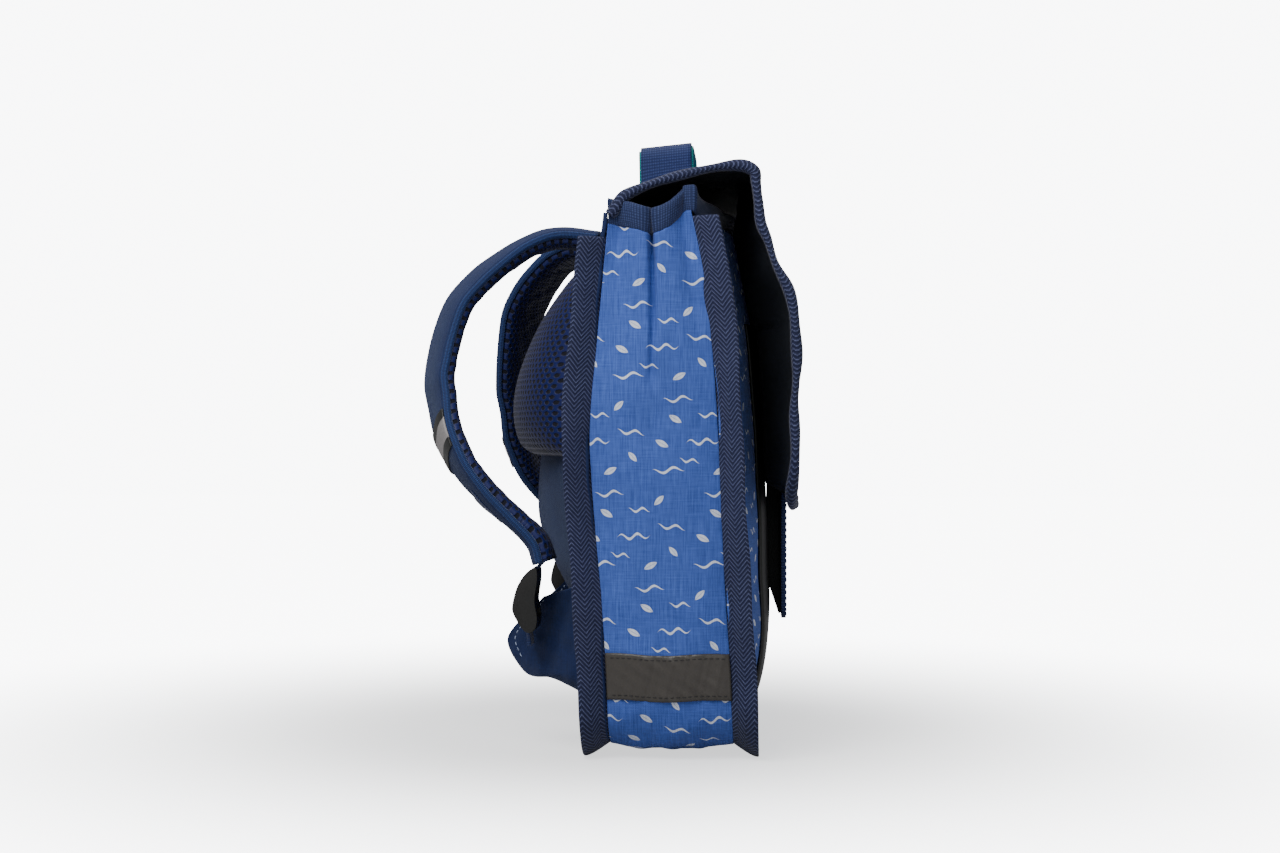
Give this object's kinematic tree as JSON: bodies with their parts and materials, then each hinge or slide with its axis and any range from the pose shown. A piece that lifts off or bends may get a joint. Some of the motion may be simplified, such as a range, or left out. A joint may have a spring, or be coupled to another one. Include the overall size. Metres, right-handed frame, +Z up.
{
  "type": "school ransel",
  "caption": "Small child's satchel backpack: stuffed canvas body with bound seams, wrap-over flap with hanging tab, carrying handle, mesh back pad and two padded shoulder straps",
  "frame": {"origin": "centre of the footprint of the whole bag, on the surface it stands on", "axes": "+Z up, flap and closure tab face -Y, back pad and shoulder straps face +Y, X runs across the bag's width"},
  "size_m": [0.2652, 0.213, 0.3406],
  "materials": {
    "printed_canvas": "royal blue plain weave canvas with an off-white all-over print of small waves and leaves",
    "navy_canvas": "plain navy canvas, padded on the straps",
    "navy_binding": "navy herringbone and ribbed binding tape with pale threads",
    "navy_webbing": "navy woven webbing with fine ribs",
    "teal_backing": "teal woven backing tape",
    "black_lining": "black matt lining cloth",
    "black_vinyl": "smooth black coated cloth with a soft sheen",
    "navy_mesh": "deep blue spacer mesh with a honeycomb face",
    "grey_reflective": "dark grey reflective tape with beaded surface",
    "silver_reflective": "silver reflective tape with black edges",
    "brown_plastic": "dark brown moulded plastic, satin"
  },
  "bodies": {
    "root": {"bottom_panel": "printed_canvas", "front_panel": "printed_canvas", "back_panel": "navy_canvas", "front_centre_panel": "black_vinyl", "back_pad": "navy_mesh", "back_seam_binding": "navy_binding", "front_seam_binding": "navy_binding", "mouth_tape": "navy_binding", "flap": "printed_canvas", "flap_lining": "black_lining", "flap_binding": "navy_binding", "closure_tab": "navy_canvas", "closure_tab_back": "black_lining", "handle_webbing": "navy_webbing", "handle_backing": "teal_backing", "side_panel_near": "printed_canvas", "side_tape_near": "grey_reflective", "strap_near": "navy_canvas", "strap_mesh_near": "navy_mesh", "strap_reflector_near": "silver_reflective", "strap_adjuster_near": "brown_plastic", "side_wing_near": "navy_canvas", "lower_webbing_near": "navy_webbing", "side_panel_far": "printed_canvas", "side_tape_far": "grey_reflective", "strap_far": "navy_canvas", "strap_mesh_far": "navy_mesh", "strap_reflector_far": "silver_reflective", "strap_adjuster_far": "brown_plastic", "side_wing_far": "navy_canvas", "lower_webbing_far": "navy_webbing"}
  },
  "joints": []
}
